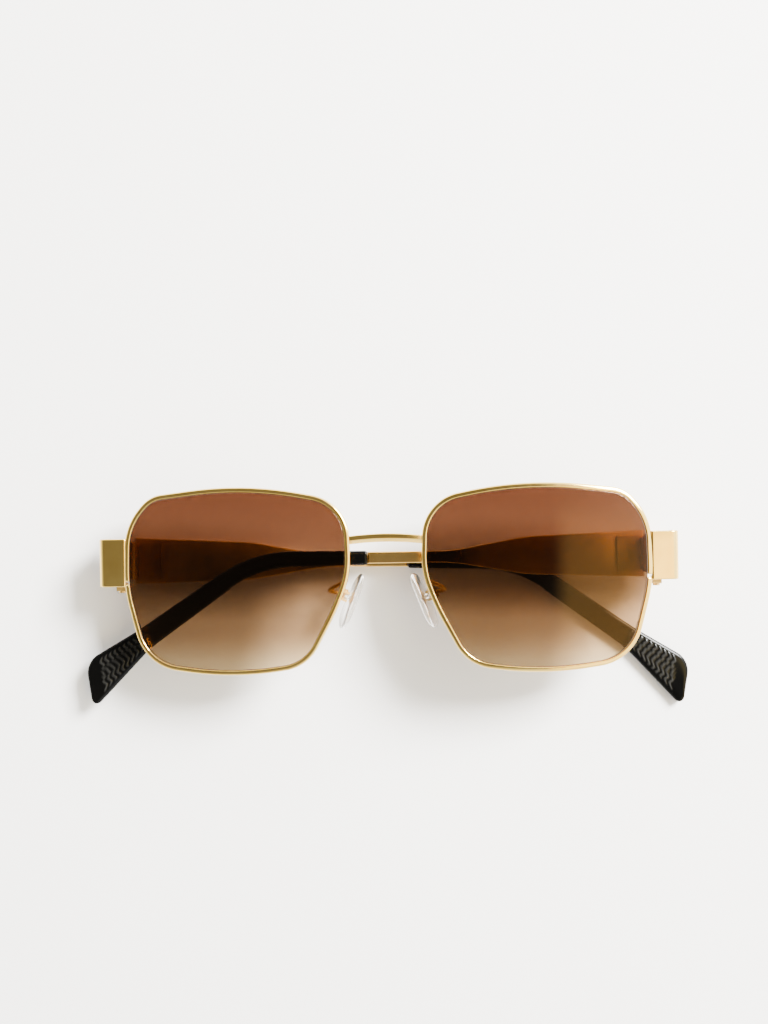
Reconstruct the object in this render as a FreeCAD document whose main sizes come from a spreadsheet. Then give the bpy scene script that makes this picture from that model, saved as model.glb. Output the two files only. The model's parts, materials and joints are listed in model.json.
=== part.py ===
import FreeCAD, Part
import math
import os
from FreeCAD import Placement, Rotation, Vector

# Metal sunglasses, folded and lying on their right temple with the lenses up.
# Millimetres, +Z up, +Y the top of the lenses, +X the wearer's left.
# A piece is drawn once, for the wearer's left side, and mirrored for the right.
# "Front" places are measured from the middle of the front, "hinge" places from the hinge's axis.

doc = FreeCAD.newDocument("sunglasses")
sizes = doc.addObject("Spreadsheet::Sheet", "sizes")

VALUES = {
    # lenses and rims
    "lens_width": 55.6,        # outer width of one rim
    "lens_height": 45.4,       # outer height of one rim
    "lens_gap": 17.2,          # between the rims at the bridge
    "lens_rise": 17.9,         # top of the rim above the hinge line
    "base_radius": 130.0,      # curve of the lenses
    "wrap_angle": 4.0,         # each lens turns back towards the temples
    "lens_thickness": 2.0,
    "lens_clearance": 0.05,    # lens tongue in the rim groove
    "rim_wire": 1.2,           # rim seen from the front
    "rim_depth": 2.2,          # rim front to back
    "groove_depth": 0.55,
    "groove_height": 0.9,
    "solder_gap": 0.02,        # parts that are soldered to a curved rim
    # bridge
    "bridge_height": 2.05,
    "bridge_thick": 1.8,
    "bridge_arch": 0.7,
    "bridge_rise": 5.35,       # middle of the bar above the hinge line
    "bridge_facet": 0.9,
    # endpieces and the rim's closing blocks
    "strip_height": 11.8,      # endpiece and temple at the hinge
    "strip_thick": 1.2,
    "endpiece_reach": 6.7,     # from the rim to the outer face
    "endpiece_front": -4.1,    # front face of the endpiece
    "endpiece_bend": 1.8,
    "endpiece_drop": 0.5,      # the face slopes back towards its corner
    "edge_round": 0.25,
    "closing_drop": 4.9,       # slit in the rim below the hinge line
    "closing_slit": 0.2,
    "block_width": 2.2,
    "block_height": 1.9,
    "block_depth": 2.9,
    "rim_screw_radius": 0.5,
    # hinges
    "hinge_inset": 6.0,        # outer face of the strip to the hinge's axis
    "hinge_depth": 13.2,       # axis behind the middle of the front
    "barrel_radius": 1.3,
    "pin_radius": 0.6,
    "pin_clearance": 0.04,     # running fit of the moving knuckle
    "screw_clearance": 0.02,   # screw in the pieces that it is fixed to
    "middle_knuckle": 2.4,
    "outer_knuckle": 3.2,
    "knuckle_gap": 0.06,
    "leaf_gap": 0.1,           # each leaf to the joint plane
    "butt_gap": 0.15,          # each strip end to the joint plane
    "leaf_solder": 0.1,        # solder under each hinge, which takes up the set of the right one
    "leaf_clearance": 0.15,    # around the other half's knuckle
    "post_height": 8.0,
    "plate_length": 7.0,
    "plate_height": 9.0,
    "plate_thick": 0.6,
    "screw_head_radius": 1.0,
    "screw_head_height": 0.5,
    "screw_slot": 0.3,
    # temples
    "shoulder_start": 30.0,    # where the strip begins to narrow
    "shoulder_height": 9.6,
    "bar_start": 48.5,
    "bar_height": 3.0,
    "taper_radius": 40.0,
    "sleeve_start": 70.0,      # where the black tip begins
    "bend_start": 88.9,
    "bend_radius": 30.0,
    "bend_angle": 34.5,
    "core_drop": 27.0,         # core wire below the ear bend
    "core_radius": 0.6,
    "core_lift": 1.05,         # core wire above the outer face
    "core_clearance": 0.05,
    "core_margin": 0.3,        # bore beyond the end of the core wire
    "sleeve_thick": 2.8,
    "sleeve_height": 3.6,
    "bend_height": 4.3,
    "paddle_start": 25.4,      # where the tip broadens, below the ear bend
    "paddle_upper": 2.7,
    "paddle_lower": 2.8,
    "paddle_blend": 30.0,
    "corner_along": 40.8,      # blunt upper corner of the tip's end
    "corner_up": 3.9,
    "corner_round": 5.3,
    "point_along": 46.1,       # narrow lower corner of the tip's end
    "point_down": 7.15,
    "point_round": 1.3,
    "sleeve_round": 1.0,
    # fold
    "stack_gap": 0.7,          # between the folded temples at the hinges
    "hinge_set": 0.9,          # right temple adjusted to drop towards its tip
    # nose pads
    "pad_length": 14.5,
    "pad_width": 8.0,
    "pad_thick": 1.8,
    "pad_x": 10.9,             # pad screw, from the middle of the front
    "pad_y": -9.0,
    "pad_z": -9.6,
    "pad_lean": 23.0,          # long axis of the pad from upright
    "pad_splay": 18.0,         # front edge of the pad leans towards the nose
    "pad_stand": 1.5,          # pad's back to its screw
    "stem_radius": 0.7,
    "stem_width": 1.3,
    "box_gap": 0.1,            # stem to the cheeks of the box
    "cheek_thick": 0.5,
    "box_width": 2.2,
    "box_back": 0.85,
    "box_front": 1.0,
    "pad_screw_radius": 0.35,
    "pad_head_radius": 0.65,
    "pad_head_height": 0.4,
    "arm_radius": 0.5,
    "arm_y": -5.0,             # foot of the arm on the rim
    "arm_solder": 0.1,
}

for row, (alias, number) in enumerate(VALUES.items(), start=1):
    sizes.set("A%d" % row, alias)
    sizes.set("B%d" % row, str(number))
    sizes.setAlias("B%d" % row, alias)
doc.recompute()


class Sizes:
    """The sheet's numbers by name, for outlines that are worked out point by point."""

    def __getattr__(self, alias):
        return VALUES[alias]


at = Sizes()
nodes = {}


# ---------------------------------------------------------------- helpers

def add(kind, name, formulas=None, **fixed):
    """New document object; formulas are written in terms of the sheet's aliases."""
    thing = doc.addObject(kind, name)
    for prop, setting in fixed.items():
        setattr(thing, prop, setting)
    for prop, formula in (formulas or {}).items():
        for alias in sorted(VALUES, key=len, reverse=True):
            formula = formula.replace("<%s>" % alias, "sizes.%s" % alias)
        thing.setExpression(prop, formula)
    return thing


def rounded(name, corners, closed=True):
    """Sketch through corners (x, y, radius), each turned into a tangent arc."""
    sketch = doc.addObject("Sketcher::SketchObject", name)
    ends = []
    count = len(corners)
    for index, (x, y, radius) in enumerate(corners):
        here = Vector(x, y, 0)
        if radius == 0 or (not closed and index in (0, count - 1)):
            ends.append((here, here, None))
            continue
        before = (Vector(*corners[index - 1][:2], 0) - here).normalize()
        after = (Vector(*corners[(index + 1) % count][:2], 0) - here).normalize()
        half = before.getAngle(after) / 2
        centre = here + (before + after).normalize() * (radius / math.sin(half))
        start = here + before * (radius / math.tan(half))
        finish = here + after * (radius / math.tan(half))
        middle = centre + (here - centre).normalize() * radius
        ends.append((start, finish, middle))
    for index, (start, finish, middle) in enumerate(ends):
        if middle is not None:
            sketch.addGeometry(Part.Arc(start, middle, finish), False)
        if closed or index < count - 1:
            following = ends[(index + 1) % count][0]
            if (following - finish).Length > 1e-6:
                sketch.addGeometry(Part.LineSegment(finish, following), False)
    return sketch


def extrude(profile, name, up, down="0", direction=Vector(0, 0, 1)):
    return add("Part::Extrusion", name, {"LengthFwd": up, "LengthRev": down},
               Base=profile, DirMode="Custom", Dir=direction, Solid=True)


def offset(profile, name, distance):
    return add("Part::Offset2D", name, {"Value": distance}, Source=profile)


def cut(base, tool, name):
    return add("Part::Cut", name, Base=base, Tool=tool)


def common(first, second, name):
    return add("Part::MultiCommon", name, Shapes=[first, second])


def fuse(pieces, name):
    return add("Part::MultiFuse", name, Shapes=pieces)


def box(name, xs, ys, zs):
    """Box between two formulas along each axis."""
    low = {"Placement.Base.x": xs[0], "Placement.Base.y": ys[0], "Placement.Base.z": zs[0]}
    span = {"Length": "(%s) - (%s)" % (xs[1], xs[0]), "Width": "(%s) - (%s)" % (ys[1], ys[0]),
            "Height": "(%s) - (%s)" % (zs[1], zs[0])}
    return add("Part::Box", name, {**low, **span})


def post(name, radius, ys, x="0", z="0"):
    """Cylinder along Y between two formulas."""
    cylinder = add("Part::Cylinder", name, {"Radius": radius, "Height": "(%s) - (%s)" % (ys[1], ys[0])})
    cylinder.Placement = Placement(Vector(), Rotation(Vector(1, 0, 0), -90))
    cylinder.setExpression("Placement.Base.x", named(x))
    cylinder.setExpression("Placement.Base.y", named(ys[0]))
    cylinder.setExpression("Placement.Base.z", named(z))
    return cylinder


def named(formula):
    for alias in VALUES:
        formula = formula.replace("<%s>" % alias, "sizes.%s" % alias)
    return formula


def fillet(base, name, radius, wanted):
    """Round the edges that wanted() picks."""
    doc.recompute()
    picked = [number for number, edge in enumerate(base.Shape.Edges, start=1) if wanted(edge)]
    rounding = doc.addObject("Part::Fillet", name)
    rounding.Base = base
    rounding.Edges = [(number, radius, radius) for number in picked]
    return rounding


def keep(thing, label, placement=None):
    """One sub-part: its own object, label and placement."""
    node = add("Part::Compound", label, Links=[thing])
    node.Label = label
    node.Placement = placement or Placement()
    nodes[label] = node


def keep_pair(thing, label, left, right):
    keep(thing, label + "_left", left)
    keep(mirror(thing), label + "_right", right)


def mirror(thing):
    return add("Part::Mirroring", thing.Name + "_mirrored", Source=thing, Normal=Vector(1, 0, 0))


def keep_group(thing, label, left, right):
    """Two identical fasteners in one sub-part."""
    one = add("Part::Compound", label + "_on_left", Links=[thing])
    one.Placement = left
    other = add("Part::Compound", label + "_on_right", Links=[mirror(thing)])
    other.Placement = right
    node = add("Part::Compound", label, Links=[one, other])
    node.Label = label
    nodes[label] = node


# ---------------------------------------------------------------- where things stand

half_front = at.lens_gap / 2 + at.lens_width + at.endpiece_reach
hinge_x = half_front - at.hinge_inset
HINGE_X = "(<lens_gap> / 2 + <lens_width> + <endpiece_reach> - <hinge_inset>)"
RIM_SIDE = "(<lens_gap> / 2 + <lens_width>)"

# The right temple lies flat. The front leans so that the left temple, level above it,
# clears the right temple's sleeve.
lift = at.sleeve_thick + at.stack_gap
lean = math.degrees(math.atan(lift / (2 * hinge_x)))


def turn(axis, angle):
    return Placement(Vector(), Rotation(axis, angle))


def move(x, y, z):
    return Placement(Vector(x, y, z), Rotation())


UP = Vector(0, 1, 0)
FORWARD = Vector(0, 0, 1)
right_temple = turn(FORWARD, -at.hinge_set)
right_hinge = right_temple * turn(UP, -lean)
front = right_hinge * turn(FORWARD, at.hinge_set) * move(hinge_x, 0, at.hinge_depth)
bar_drop = front.Base.x * math.tan(math.radians(at.hinge_set))
settle = move(-front.Base.x, bar_drop, at.hinge_inset)
right_temple = settle * right_temple
right_hinge = settle * right_hinge
front = settle * front
left_hinge = front * move(hinge_x, 0, -at.hinge_depth)
left_temple = left_hinge * turn(UP, lean)


# ---------------------------------------------------------------- rims and lenses

def rim_outline():
    """Outer edge of the rim: ten corners as shares of the rim's width and height."""
    shares = [(0.451, -0.024, 90.0), (0.885, 0.035, 8.0), (1.0, 0.190, 15.0), (1.003, 0.533, 33.0),
              (0.915, 0.953, 12.0), (0.505, 1.018, 84.0), (0.190, 0.957, 11.0), (0.059, 0.656, 63.0),
              (-0.003, 0.462, 22.0), (0.009, 0.081, 11.0)]
    return rounded("rim_outline", [(at.lens_gap / 2 + across * at.lens_width,
                                    at.lens_rise - down * at.lens_height, radius)
                                   for across, down, radius in shares])


def lens_centre():
    """Middle of the sphere that the lens and its rim lie on."""
    across = at.lens_gap / 2 + at.lens_width / 2 - at.base_radius * math.sin(math.radians(at.wrap_angle))
    return Vector(across, at.lens_rise - at.lens_height / 2,
                  -at.base_radius * math.cos(math.radians(at.wrap_angle)))


def rim_back(x, y):
    """Height of the rim's back face over a point of the front."""
    centre = lens_centre()
    radius = at.base_radius - at.rim_depth / 2
    return centre.z + math.sqrt(radius ** 2 - (x - centre.x) ** 2 - (y - centre.y) ** 2)


def shell(name, thickness):
    """Part of the lens's sphere, half the thickness to each side."""
    seat = Placement(lens_centre(), Rotation(Vector(1, 0, 0), 90))
    outside = add("Part::Sphere", name + "_outside", {"Radius": "<base_radius> + (%s) / 2" % thickness})
    inside = add("Part::Sphere", name + "_inside", {"Radius": "<base_radius> - (%s) / 2" % thickness})
    outside.Placement = seat
    inside.Placement = seat
    return cut(outside, inside, name)


outline = rim_outline()


def through(distance, name):
    """Block as deep as the front, bounded by the rim's outline moved outwards by distance."""
    profile = outline if distance is None else offset(outline, name + "_outline", distance)
    return extrude(profile, name, "12", "24")


def rims():
    ring = cut(through(None, "rim_block"), through("-<rim_wire>", "rim_opening"), "rim_ring")
    wire = common(ring, shell("rim_shell", "<rim_depth>"), "rim_wire_ring")
    groove = common(through("-(<rim_wire> - <groove_depth>)", "groove_block"),
                    shell("groove_shell", "<groove_height>"), "rim_groove")
    slit = box("rim_slit", (RIM_SIDE + " - 4", RIM_SIDE + " + 2"),
               ("-<closing_drop> - <closing_slit> / 2", "-<closing_drop> + <closing_slit> / 2"), ("-12", "2"))
    rim = cut(cut(wire, groove, "rim_grooved"), slit, "rim")
    keep_pair(rim, "rim", front, front)


def lenses():
    body = common(through("-(<rim_wire> + <lens_clearance>)", "lens_block"),
                  shell("lens_shell", "<lens_thickness>"), "lens_body")
    tongue = common(through("-(<rim_wire> - <groove_depth> + <lens_clearance>)", "tongue_block"),
                    shell("tongue_shell", "<groove_height> - 2 * <lens_clearance>"), "lens_tongue")
    keep_pair(fuse([body, tongue], "lens"), "lens", front, front)


def bridge():
    """Arched bar; the lower half of its face slopes back."""
    reach = at.lens_gap / 2 + 1.5
    low = at.bridge_rise - at.bridge_height / 2
    high = at.bridge_rise + at.bridge_height / 2
    sketch = doc.addObject("Sketcher::SketchObject", "bridge_outline")
    for edge in (low, high):
        sketch.addGeometry(Part.Arc(Vector(-reach, edge - at.bridge_arch, 0), Vector(0, edge, 0),
                                    Vector(reach, edge - at.bridge_arch, 0)), False)
    for end in (-reach, reach):
        sketch.addGeometry(Part.LineSegment(Vector(end, low - at.bridge_arch, 0),
                                            Vector(end, high - at.bridge_arch, 0)), False)
    bar = extrude(sketch, "bridge_bar", "<bridge_thick>")
    bar.Placement = move(0, 0, -1.2 - at.bridge_thick / 2)
    doc.recompute()

    def lower_front(edge):
        centre = edge.BoundBox.Center
        return edge.BoundBox.XLength > reach and centre.z > -1.2 and edge.BoundBox.YMin < low - at.bridge_arch + 0.1

    picked = [number for number, edge in enumerate(bar.Shape.Edges, start=1) if lower_front(edge)]
    faceted = doc.addObject("Part::Chamfer", "bridge_faceted")
    faceted.Base = bar
    faceted.Edges = [(number, at.bridge_facet, at.bridge_facet) for number in picked]
    seat = through("<solder_gap>", "bridge_seat")
    both = fuse([seat, mirror(seat)], "bridge_seats")
    keep(cut(faceted, both, "bridge_cut"), "bridge", front)


# ---------------------------------------------------------------- endpieces and closing blocks

def endpieces():
    """Strip soldered to the rim, bent back round the corner to the hinge."""
    inner = half_front - at.strip_thick
    back = at.endpiece_front - at.strip_thick
    finish = -at.hinge_depth + at.butt_gap
    start = at.lens_gap / 2 + at.lens_width - 2.5
    profile = rounded("endpiece_profile", [
        (start, at.endpiece_front, 0), (half_front, at.endpiece_front - at.endpiece_drop, at.endpiece_bend),
        (half_front, finish, 0), (inner, finish, 0),
        (inner, back - at.endpiece_drop, at.endpiece_bend - at.strip_thick), (start, back, 0)])
    profile.Placement = turn(Vector(1, 0, 0), 90)
    strip = extrude(profile, "endpiece_strip", "<strip_height> / 2", "<strip_height> / 2", UP)
    side = at.strip_height / 2

    def along_the_strip(edge):
        return edge.BoundBox.YLength < 0.01 and abs(abs(edge.BoundBox.YMin) - side) < 0.01 \
            and edge.BoundBox.XLength + edge.BoundBox.ZLength > at.strip_thick * 1.05

    eased = fillet(strip, "endpiece_eased", at.edge_round, along_the_strip)
    keep_pair(cut(eased, through("<solder_gap>", "endpiece_seat"), "endpiece"), "endpiece", front, front)


def closing_blocks():
    """The rim is cut through beside the endpiece; a screw pulls the two blocks together."""
    across = (RIM_SIDE + " + 0.3", RIM_SIDE + " + 0.3 + <block_width>")
    top = "<endpiece_front> - <strip_thick> - <endpiece_drop> * 0.65"
    deep = (top + " - <block_depth>", top)
    slit = "-<closing_drop> + <closing_slit> / 2"
    below = "-<closing_drop> - <closing_slit> / 2"
    middle_x = RIM_SIDE + " + 0.3 + <block_width> / 2"
    middle_z = top + " - <block_depth> / 2"
    hole_radius = "<rim_screw_radius> + <screw_clearance>"
    for label, ys in (("upper", (slit, slit + " + <block_height>")), ("lower", (below + " - <block_height>", below))):
        block = box(label + "_block", across, ys, deep)
        hole = post(label + "_block_hole", hole_radius, (ys[0] + " - 1", ys[1] + " + 1"), middle_x, middle_z)
        keep_pair(cut(block, hole, label + "_block_drilled"), "closing_block_" + label, front, front)
    shaft = post("rim_screw_shaft", "<rim_screw_radius>", (below + " - <block_height>", slit + " + <block_height>"),
                 middle_x, middle_z)
    head = post("rim_screw_head", "<rim_screw_radius> * 1.7",
                (below + " - <block_height> - 0.5", below + " - <block_height>"), middle_x, middle_z)
    keep_group(fuse([shaft, head], "rim_screw"), "rim_screws", front, front)


# ---------------------------------------------------------------- hinges

MIDDLE_TOP = "<middle_knuckle> / 2"
OUTER_LOW = "(<middle_knuckle> / 2 + <knuckle_gap>)"
OUTER_TOP = "(<middle_knuckle> / 2 + <knuckle_gap> + <outer_knuckle>)"
LEAF_REACH = "(<hinge_inset> - <strip_thick> - <leaf_solder>)"


def front_hinges():
    """Two knuckles and a leaf, soldered inside the endpiece."""
    pieces = []
    for side, ys in (("upper", (OUTER_LOW, OUTER_TOP)), ("lower", ("-" + OUTER_TOP, "-" + OUTER_LOW))):
        pieces.append(post(side + "_knuckle", "<barrel_radius>", ys))
        pieces.append(box(side + "_web", ("0", LEAF_REACH), ys, ("<leaf_gap>", "<barrel_radius>")))
    pieces.append(box("front_leaf", ("<barrel_radius> + <leaf_clearance>", LEAF_REACH),
                      ("-" + OUTER_TOP, OUTER_TOP), ("<leaf_gap>", "<barrel_radius>")))
    hole = post("front_hinge_hole", "<pin_radius> + <screw_clearance>",
                ("-" + OUTER_TOP + " - 1", OUTER_TOP + " + 1"))
    keep_pair(cut(fuse(pieces, "front_hinge_solid"), hole, "front_hinge"), "front_hinge", left_hinge, right_hinge)


def temple_hinges():
    """One knuckle on a post, and a plate soldered inside the temple."""
    depth = ("-" + LEAF_REACH, "0")
    pieces = [
        post("middle_knuckle_barrel", "<barrel_radius>", ("-" + MIDDLE_TOP, MIDDLE_TOP)),
        box("middle_web", ("-<barrel_radius>", "-<leaf_gap>"), ("-" + MIDDLE_TOP, MIDDLE_TOP), depth),
        box("hinge_post", ("-<barrel_radius>", "-<leaf_gap>"), ("-<post_height> / 2", "<post_height> / 2"),
            ("-" + LEAF_REACH, "-<barrel_radius> - <leaf_clearance>")),
        box("hinge_plate", ("-<plate_length>", "-<leaf_gap>"), ("-<plate_height> / 2", "<plate_height> / 2"),
            ("-" + LEAF_REACH, "-" + LEAF_REACH + " + <plate_thick>"))]
    hole = post("temple_hinge_hole", "<pin_radius> + <pin_clearance>", ("-" + OUTER_TOP, OUTER_TOP))
    keep_pair(cut(fuse(pieces, "temple_hinge_solid"), hole, "temple_hinge"), "temple_hinge",
              left_temple, right_temple)


def hinge_screws():
    shaft = post("hinge_screw_shaft", "<pin_radius>", ("-" + OUTER_TOP, OUTER_TOP))
    head = post("hinge_screw_head", "<screw_head_radius>", (OUTER_TOP, OUTER_TOP + " + <screw_head_height>"))
    slot = box("hinge_screw_slot", ("-2", "2"),
               (OUTER_TOP + " + <screw_head_height> / 2", OUTER_TOP + " + <screw_head_height> + 1"),
               ("-<screw_slot> / 2", "<screw_slot> / 2"))
    keep_group(cut(fuse([shaft, head], "hinge_screw_solid"), slot, "hinge_screw"), "hinge_screws",
               left_hinge, right_hinge)


# ---------------------------------------------------------------- temples

def heading(angle):
    """Direction along the temple, which runs towards -X and drops by the angle."""
    return Vector(-math.cos(math.radians(angle)), -math.sin(math.radians(angle)), 0)


def square_to(angle):
    """Direction across the temple, on its upper side."""
    return Vector(-math.sin(math.radians(angle)), math.cos(math.radians(angle)), 0)


def ear_corner(side=0, height=0):
    """Where the sleeve's straight runs would meet at the ear; on one side of the middle line."""
    turn_side = at.bend_radius * math.tan(math.radians(at.bend_angle / 2))
    out = side * height / 2 / math.cos(math.radians(at.bend_angle / 2))
    return Vector(-at.bend_start - turn_side, 0, 0) + square_to(at.bend_angle / 2) * out


def below_ear(along, above):
    """Point a distance along the drop below the ear bend, and above its middle line."""
    turned = math.radians(at.bend_angle)
    start = Vector(-at.bend_start - at.bend_radius * math.sin(turned), at.bend_radius * (math.cos(turned) - 1), 0)
    return start + heading(at.bend_angle) * along + square_to(at.bend_angle) * above


def core(name, radius, start, beyond):
    """Round wire along the sleeve's middle line, into the broad end."""
    ear = ear_corner()
    finish = below_ear(at.core_drop + beyond, 0)
    path = rounded(name + "_path", [(start, 0, 0), (ear.x, ear.y, at.bend_radius),
                                    (finish.x, finish.y, 0)], closed=False)
    path.Placement = move(0, 0, -at.hinge_inset + at.core_lift)
    ring = add("Part::Circle", name + "_section", {"Radius": radius})
    ring.Placement = Placement(Vector(start, 0, -at.hinge_inset + at.core_lift), Rotation(UP, 90))
    doc.recompute()
    edges = ["Edge%d" % number for number in range(1, len(path.Shape.Edges) + 1)]
    return add("Part::Sweep", name, Sections=[ring], Spine=(path, edges), Solid=True, Frenet=False)


def on_flat_side(edge, low, high):
    flat = edge.BoundBox.ZLength < 0.01
    return flat and (abs(edge.BoundBox.ZMin - low) < 0.01 or abs(edge.BoundBox.ZMin - high) < 0.01)


def temples():
    """Wide strip that narrows to a bar, with the core wire of the tip."""
    start = -at.butt_gap
    finish = -at.sleeve_start + at.core_clearance
    upper = [(start, at.strip_height / 2, 0), (-at.shoulder_start, at.shoulder_height / 2, at.taper_radius),
             (-at.bar_start, at.bar_height / 2, at.taper_radius), (finish, at.bar_height / 2, 0)]
    lower = [(x, -y, radius) for x, y, radius in reversed(upper)]
    strip = extrude(rounded("temple_outline", upper + lower), "temple_plate", "<strip_thick>")
    strip.Placement = move(0, 0, -at.hinge_inset)

    def long_edge(edge):
        return on_flat_side(edge, -at.hinge_inset, -at.hinge_inset + at.strip_thick) and edge.BoundBox.XLength > 1

    eased = fillet(strip, "temple_eased", at.edge_round, long_edge)
    wire = core("temple_core", "<core_radius>", -at.sleeve_start + 2.5, 0)
    keep_pair(fuse([eased, wire], "temple"), "temple", left_temple, right_temple)


def temple_tips():
    """Black sleeve: slim at the bar, bent over the ear, broad and cut off slantwise at the end."""
    half = at.sleeve_height / 2
    spots = [(Vector(-at.sleeve_start, half, 0), 0.6),
             (ear_corner(1, at.bend_height), at.bend_radius + at.bend_height / 2),
             (below_ear(at.paddle_start, at.paddle_upper), at.paddle_blend),
             (below_ear(at.corner_along, at.corner_up), at.corner_round),
             (below_ear(at.point_along, -at.point_down), at.point_round),
             (below_ear(at.paddle_start, -at.paddle_lower), at.paddle_blend),
             (ear_corner(-1, at.bend_height), at.bend_radius - at.bend_height / 2),
             (Vector(-at.sleeve_start, -half, 0), 0.6)]
    corners = [(spot.x, spot.y, radius) for spot, radius in spots]
    sleeve = extrude(rounded("tip_outline", corners), "tip_block", "<sleeve_thick>")
    sleeve.Placement = move(0, 0, -at.hinge_inset)

    def rim_of_side(edge):
        return on_flat_side(edge, -at.hinge_inset, -at.hinge_inset + at.sleeve_thick)

    soft = fillet(sleeve, "tip_soft", at.sleeve_round, rim_of_side)
    bore = core("tip_bore", "<core_radius> + <core_clearance>", -at.sleeve_start + 1,
                at.core_margin)
    keep_pair(cut(soft, bore, "temple_tip"), "temple_tip", left_temple, right_temple)


# ---------------------------------------------------------------- nose pads

# A pad's own directions: Y along the screw and the pad's length, X away from the nose,
# Z towards the lens.
pad_turn = turn(FORWARD, at.pad_lean) * turn(UP, -at.pad_splay)
left_pad = front * move(at.pad_x, at.pad_y, at.pad_z) * pad_turn
right_pad = front * move(-at.pad_x, at.pad_y, at.pad_z) * turn(FORWARD, -at.pad_lean) * turn(UP, at.pad_splay)
CHEEK_IN = "(<stem_width> / 2 + <box_gap>)"
CHEEK_OUT = "(<stem_width> / 2 + <box_gap> + <cheek_thick>)"


def nose_pads():
    """Drop-shaped pad with a stem that the screw passes through."""
    half = at.pad_width / 2
    top = at.pad_length * 0.45
    foot = -at.pad_length * 0.55
    slim = half * 0.68
    profile = rounded("pad_outline", [(slim, top, slim * 0.9), (half, foot, half * 0.85),
                                      (-half, foot, half * 0.85), (-slim, top, slim * 0.9)])
    profile.Placement = Placement(Vector(-at.pad_stand - at.pad_thick, 0, 0), Rotation(UP, -90))
    plate = extrude(profile, "pad_plate", "<pad_thick>", "0", Vector(1, 0, 0))

    def broad_side(edge):
        return edge.BoundBox.XLength < 0.01 and edge.BoundBox.YLength + edge.BoundBox.ZLength > 0.5

    soft = fillet(plate, "pad_soft", at.pad_thick * 0.4, broad_side)
    ring = post("pad_stem_ring", "<stem_radius>", ("-<stem_width> / 2", "<stem_width> / 2"))
    neck = box("pad_stem_neck", ("-<pad_stand> - <pad_thick> / 2", "0"), ("-<stem_width> / 2", "<stem_width> / 2"),
               ("-<stem_radius> * 0.8", "<stem_radius> * 0.8"))
    hole = post("pad_stem_hole", "<pad_screw_radius> + <pin_clearance>", ("-3", "3"))
    keep_pair(cut(fuse([soft, neck, ring], "pad_solid"), hole, "nose_pad"), "nose_pad", left_pad, right_pad)


def pad_boxes():
    """Channel on the end of the arm, open towards the pad."""
    outer = box("pad_box_block", ("-<box_front>", "<box_back> + <cheek_thick>"), ("-" + CHEEK_OUT, CHEEK_OUT),
                ("-<box_width> / 2", "<box_width> / 2"))
    channel = box("pad_box_channel", ("-<box_front> - 1", "<box_back>"), ("-" + CHEEK_IN, CHEEK_IN),
                  ("-<box_width>", "<box_width>"))
    hole = post("pad_box_hole", "<pad_screw_radius> + <screw_clearance>", ("-3", "3"))
    keep_pair(cut(cut(outer, channel, "pad_box_open"), hole, "pad_box"), "pad_box", left_pad, right_pad)


def pad_screws():
    shaft = post("pad_screw_shaft", "<pad_screw_radius>", ("-" + CHEEK_OUT, CHEEK_OUT))
    head = post("pad_screw_head", "<pad_head_radius>", (CHEEK_OUT, CHEEK_OUT + " + <pad_head_height>"))
    keep_group(fuse([shaft, head], "pad_screw"), "pad_screws", left_pad, right_pad)


def pad_arms():
    """Wire from the back of the rim, bowed towards the temple and in to the pad box."""
    in_front = front.inverse() * left_pad
    back = in_front * move(at.box_back + at.cheek_thick, 0, 0)
    outward = in_front.Rotation.multVec(Vector(1, 0, 0))
    foot_x = at.lens_gap / 2 + 1.2
    rim_foot = Vector(foot_x, at.arm_y, rim_back(foot_x, at.arm_y) - at.arm_solder)
    arrive = back.Base + outward * at.solder_gap
    line = Part.BSplineCurve()
    line.interpolate(Points=[rim_foot, rim_foot + Vector(1.6, -0.9, -2.6), arrive + outward * 1.6 + Vector(0.6, 0.2, 1.3),
                             arrive],
                     InitialTangent=Vector(0, 0, -1), FinalTangent=outward * -1)
    path = doc.addObject("Part::Feature", "pad_arm_path")
    path.Shape = Part.Wire(line.toShape())
    ring = add("Part::Circle", "pad_arm_section", {"Radius": "<arm_radius>"})
    ring.Placement = Placement(rim_foot, Rotation())
    wire = add("Part::Sweep", "pad_arm_wire", Sections=[ring], Spine=(path, ["Edge1"]), Solid=True, Frenet=False)
    keep_pair(wire, "pad_arm", front, front)


# ---------------------------------------------------------------- build, check and write

rims()
lenses()
bridge()
endpieces()
closing_blocks()
front_hinges()
temple_hinges()
hinge_screws()
temples()
temple_tips()
nose_pads()
pad_boxes()
pad_screws()
pad_arms()
doc.recompute()

for thing in doc.Objects:
    if "Invalid" in thing.State or "Error" in thing.State:
        raise RuntimeError("%s did not build: %s" % (thing.Label, thing.State))
for label, node in nodes.items():
    if node.Shape.isNull() or not node.Shape.isValid() or not node.Shape.Solids:
        raise RuntimeError("%s has no valid solid" % label)
    if any(solid.Volume <= 0 for solid in node.Shape.Solids):
        raise RuntimeError("%s is inside out" % label)

os.makedirs("parts", exist_ok=True)
for label, node in nodes.items():
    node.Shape.exportStep("parts/%s.step" % label)
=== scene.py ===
import json
import math
import bpy
import numpy as np
from mathutils import Matrix, Vector


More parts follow.
